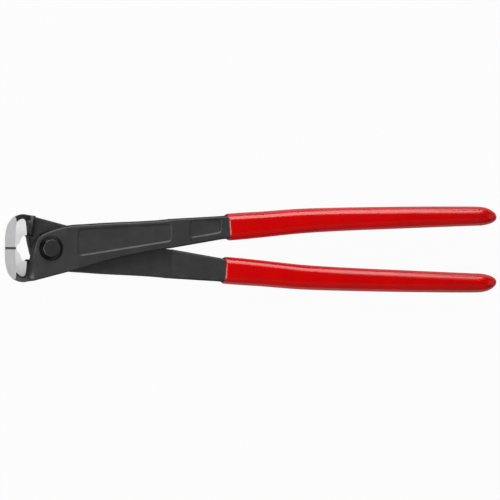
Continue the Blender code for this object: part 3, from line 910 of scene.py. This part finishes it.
def grip_sleeve(name, start, finish):
    """A dipped sleeve with a rounded lip and a closed round tip."""
    lip_end, tip_start = start + GRIP_LIP_LENGTH, HANDLE_REACH - GRIP_TIP
    width, thickness = grip_halves(lip_end)
    outer = []
    for step in range(GRIP_LIP_STEPS + 1):
        turn = math.pi / 2 * step / GRIP_LIP_STEPS
        back = GRIP_LIP * (1 - math.sin(turn))
        x = start + GRIP_LIP_LENGTH * (1 - math.cos(turn))
        outer.append(bar_loop(x, width - back, thickness - back, grip_corner(x) - back))
    for step in range(1, GRIP_STEPS + 1):
        x = lip_end + (tip_start - lip_end) * step / GRIP_STEPS
        outer.append(bar_loop(x, *grip_halves(x), grip_corner(x)))
    for step in range(1, GRIP_TIP_STEPS):
        x = tip_start + GRIP_TIP * math.sin(math.pi / 2 * step / GRIP_TIP_STEPS)
        outer.append(bar_loop(x, *grip_halves(x), grip_corner(x)))
    pocket_end = HANDLE_REACH - TANG_END_COVER + FIT
    pocket = []
    for step in range(POCKET_STEPS + 1):
        x = start + (pocket_end - start) * step / POCKET_STEPS
        width, thickness = tang_halves(min(x, pocket_end - FIT))
        pocket.append(bar_loop(x, width + FIT, thickness + FIT, TANG_CORNER))
    bm = bmesh.new()
    loops = [[bm.verts.new(point) for point in loop] for loop in pocket[::-1] + outer]
    skin(bm, loops, closed=True)
    bm.faces.new(loops[0])
    bm.faces.new(loops[-1])
    sleeve = linked_object(name, bm, [finish])
    smooth(sleeve.data)
    return sleeve


def joint_rivet(name, finish, cone_shade_finish):
    """A shank with a flat-topped cone on each side, its edges softened. The cones get a darker finish
    as painted shade.
    """
    top = RIVET_SEAT + RIVET_HEAD_HEIGHT
    upper = [
        Vector((RIVET_SHANK_RADIUS, RIVET_SEAT)),
        Vector((RIVET_HEAD_RADIUS, RIVET_SEAT)),
        Vector((RIVET_HEAD_RADIUS, RIVET_SEAT + RIVET_RIM)),
        Vector((RIVET_FLAT_RADIUS, top)),
        Vector((0.0, top)),
    ]
    softened = [upper[0], upper[1]]
    for before, corner, after in zip(upper[1:], upper[2:], upper[3:]):
        back, ahead = (before - corner), (after - corner)
        soft = min(RIVET_SOFT, back.length / 2, ahead.length / 2)
        start, end = corner + back.normalized() * soft, corner + ahead.normalized() * soft
        softened += bend(start, corner, end, RIVET_SOFT_STEPS)
    profile = [(point.x, point.y) for point in softened[::-1]]
    profile += [(point.x, -point.y) for point in softened]
    bm = bmesh.new()
    loops = []
    for radius, z in profile:
        loops.append([bm.verts.new((x, y, z)) for x, y in circle(radius)])
    skin(bm, loops, closed=True)
    bm.faces.new(loops[0])
    bm.faces.new(loops[-1])
    # The cones' faces take the second finish, which is painted shade
    for face in bm.faces:
        middle = face.calc_center_median()
        on_cone = RIVET_FLAT_RADIUS < math.hypot(middle.x, middle.y)
        face.material_index = int(on_cone and abs(middle.z) > RIVET_SEAT)
    rivet = linked_object(name, bm, [finish, cone_shade_finish])
    smooth(rivet.data)
    return rivet


# Materials


class Nodes:
    """Short calls for building one material's nodes."""

    def __init__(self, name):
        self.material = bpy.data.materials.new(name)
        self.material.use_nodes = True
        self.tree = self.material.node_tree
        self.shader = self.tree.nodes["Principled BSDF"]
        self.place = self.tree.nodes.new("ShaderNodeTexCoord").outputs["Object"]

    def add(self, kind, inputs=(), **settings):
        node = self.tree.nodes.new(kind)
        for name, value in settings.items():
            setattr(node, name, value)
        for socket, value in dict(inputs).items():
            if isinstance(value, bpy.types.NodeSocket):
                self.tree.links.new(value, node.inputs[socket])
            else:
                node.inputs[socket].default_value = value
        return node

    def noise(self, scale, detail, roughness, stretch=None):
        place = self.place
        if stretch:
            place = self.add("ShaderNodeMapping", {"Vector": place, "Scale": stretch}).outputs[0]
        inputs = {"Vector": place, "Scale": scale, "Detail": detail, "Roughness": roughness}
        return self.add("ShaderNodeTexNoise", inputs).outputs[0]

    def ramp(self, value, low, high, ends):
        """A value or colour that goes from low to high while the input goes over this range."""
        if isinstance(low, tuple):
            node = self.add("ShaderNodeValToRGB", {"Fac": value})
            for element, position, colour in zip(node.color_ramp.elements, ends, (low, high)):
                element.position = position
                element.color = (*colour, 1.0)
            return node.outputs[0]
        inputs = {0: value, 1: ends[0], 2: ends[1], 3: low, 4: high}
        return self.add("ShaderNodeMapRange", inputs).outputs[0]

    def arithmetic(self, operation, first, second):
        inputs = {0: first, 1: second}
        return self.add("ShaderNodeMath", inputs, operation=operation).outputs[0]

    def bump(self, height, distance, strength, normal=None):
        inputs = {"Height": height, "Distance": distance, "Strength": strength}
        if normal:
            inputs["Normal"] = normal
        return self.add("ShaderNodeBump", inputs).outputs[0]

    def set(self, **inputs):
        for name, value in inputs.items():
            socket = self.shader.inputs[name.replace("_", " ")]
            if isinstance(value, bpy.types.NodeSocket):
                self.tree.links.new(value, socket)
            else:
                socket.default_value = value


def dark_steel(name, dark, light, least_rough, most_rough, specular):
    """Oxidised forged steel: mottled, with a fine grain and shallow unevenness."""
    nodes = Nodes(name)
    mottle = nodes.noise(**MOTTLE)
    grain = nodes.noise(**GRAIN)
    waves = nodes.noise(**WAVES)
    nodes.set(
        Base_Color=nodes.ramp(mottle, dark, light, MOTTLE_RANGE),
        Roughness=nodes.ramp(grain, least_rough, most_rough, ROUGHNESS_RANGE),
        Normal=nodes.bump(grain, *GRAIN_BUMP, nodes.bump(waves, *WAVES_BUMP)),
        Specular_IOR_Level=specular,
    )
    return nodes.material


def bright_steel(name):
    """Ground steel with fine lines from the wheel."""
    nodes = Nodes(name)
    lines = nodes.noise(**GRINDING_LINES)
    cloud = nodes.noise(**CLOUD)
    nodes.set(
        Base_Color=nodes.ramp(cloud, *GROUND_COLOURS, COLOUR_RANGE),
        Roughness=nodes.ramp(lines, *GROUND_ROUGHNESS, ROUGHNESS_RANGE),
        Normal=nodes.bump(lines, *LINES_BUMP),
        Metallic=GROUND_METALLIC,
    )
    return nodes.material


def red_vinyl(name):
    """Dipped vinyl: even and glossy, with a faint ripple."""
    nodes = Nodes(name)
    ripple = nodes.noise(**RIPPLE)
    peel = nodes.noise(**PEEL)
    tint = nodes.noise(**TINT)
    nodes.set(
        Base_Color=nodes.ramp(tint, *VINYL_COLOURS, COLOUR_RANGE),
        Roughness=nodes.ramp(peel, *VINYL_ROUGHNESS, ROUGHNESS_RANGE),
        Normal=nodes.bump(peel, *PEEL_BUMP, nodes.bump(ripple, *RIPPLE_BUMP)),
        Specular_IOR_Level=VINYL_SPECULAR,
    )
    return nodes.material


# The tool's pieces


def place(obj, body, node, finish_slot, over=False):
    obj.matrix_world = TURNED_OVER if over else PIVOT
    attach(obj, body)
    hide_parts(node)


dark = {name: dark_steel(name, *look) for name, look in DARK_STEELS.items()}
# scale is the forging's finish of painted shade, and land the cutting edge land's painted shade
black, scale, land = dark["black_oxide"], dark["painted_shade_steel"], dark["edge_land_painted_shade"]
lever_mesh = finished_forging(black, bright_steel("ground_steel"), land, scale)
for name, body, node, over in (
    ("upper_lever_forging", "upper_half", "upper_lever", False),
    ("lower_lever_forging", "lower_half", "lower_lever", True),
):
    lever = bpy.data.objects.new(name, lever_mesh)
    bpy.context.scene.collection.objects.link(lever)
    place(lever, body, node, "black_oxide_steel", over)
rivet = joint_rivet("rivet", dark["rivet_oxide"], dark["rivet_cone_painted_shade"])
place(rivet, "upper_half", "joint_rivet", "black_rivet_steel")
red = red_vinyl("dipped_vinyl")
upper_sleeve = grip_sleeve("upper_sleeve", UPPER_GRIP_START, red)
lower_sleeve = grip_sleeve("lower_sleeve", LOWER_GRIP_START, red)
place(upper_sleeve, "upper_half", "upper_grip", "red_dipped_vinyl")
place(lower_sleeve, "lower_half", "lower_grip", "red_dipped_vinyl", over=True)

# Floor, light and camera


def floor():
    """A pale floor that the camera sees as white, with the tool's shadow faint on it."""
    bm = bmesh.new()
    corners = [(-1, -1), (1, -1), (1, 1), (-1, 1)]
    bm.faces.new([bm.verts.new((x * FLOOR_REACH, y * FLOOR_REACH, 0.0)) for x, y in corners])
    nodes = Nodes("pale_floor")
    shade = nodes.ramp(nodes.noise(**FLOOR_SHADE), *FLOOR_COLOURS, (0.0, 1.0))
    nodes.set(Base_Color=shade, Roughness=FLOOR_ROUGHNESS)
    glow = nodes.add("ShaderNodeEmission", {"Color": WHITE, "Strength": 1.0}).outputs[0]
    path = nodes.add("ShaderNodeLightPath").outputs
    mirrored = nodes.arithmetic("MULTIPLY", path["Is Glossy Ray"], FLOOR_MIRRORED)
    seen = nodes.arithmetic("MAXIMUM", path["Is Camera Ray"], mirrored)
    share = nodes.arithmetic("MULTIPLY", seen, FLOOR_GLOW)
    mix = nodes.add("ShaderNodeMixShader", {0: share, 1: nodes.shader.outputs[0], 2: glow})
    nodes.tree.links.new(mix.outputs[0], nodes.tree.nodes["Material Output"].inputs["Surface"])
    obj = linked_object("floor", bm, [nodes.material])
    obj.location.z = -FLOOR_DROP


def area_light(name, location, size, power, aim):
    light = bpy.data.lights.new(name, "AREA")
    light.shape = "RECTANGLE"
    light.size, light.size_y = size
    light.energy = power * light.size * light.size_y
    obj = bpy.data.objects.new(name, light)
    bpy.context.scene.collection.objects.link(obj)
    obj.location = location
    obj.rotation_euler = (Vector(aim) - obj.location).to_track_quat("-Z", "Y").to_euler()


def world_light():
    """A pale surround that darkens towards the zenith."""
    world = bpy.data.worlds.new("studio")
    bpy.context.scene.world = world
    world.use_nodes = True
    tree = world.node_tree
    sky = tree.nodes["Background"]
    sky.inputs["Color"].default_value = WHITE
    direction = tree.nodes.new("ShaderNodeTexCoord").outputs["Generated"]
    split = tree.nodes.new("ShaderNodeSeparateXYZ")
    fade = tree.nodes.new("ShaderNodeMapRange")
    tree.links.new(direction, split.inputs[0])
    tree.links.new(split.outputs[2], fade.inputs[0])
    for socket, value in enumerate((0.0, FADE_TOP, HORIZON_LIGHT, ZENITH_LIGHT), start=1):
        fade.inputs[socket].default_value = value
    tree.links.new(fade.outputs[0], sky.inputs["Strength"])


def camera():
    pixel = VIEW_SPAN / PICTURE_PIXELS
    back = Vector((-math.sin(CAMERA_YAW), 0.0, math.cos(CAMERA_YAW)))
    across = Vector((math.cos(CAMERA_YAW), 0.0, math.sin(CAMERA_YAW)))
    upward = back.cross(across)
    right = across * math.cos(CAMERA_ROLL) + upward * math.sin(CAMERA_ROLL)
    up = upward * math.cos(CAMERA_ROLL) - across * math.sin(CAMERA_ROLL)
    target = PIVOT.translation + across * (PICTURE_PIXELS / 2 - JOINT_PIXELS[0]) * pixel
    target -= upward * (PICTURE_PIXELS / 2 - JOINT_PIXELS[1]) * pixel
    data = bpy.data.cameras.new("camera")
    data.lens = LENS
    data.clip_start, data.clip_end = CLIP_NEAR, CLIP_FAR
    obj = bpy.data.objects.new("camera", data)
    bpy.context.scene.collection.objects.link(obj)
    turn = Matrix((right, up, back)).transposed().to_4x4()
    distance = VIEW_SPAN * LENS / data.sensor_width
    obj.matrix_world = Matrix.Translation(target + back * distance) @ turn
    bpy.context.scene.camera = obj


floor()
world_light()
for name, values in LAMPS.items():
    area_light(name, *values)
camera()
bpy.context.scene.view_settings.view_transform = "Standard"
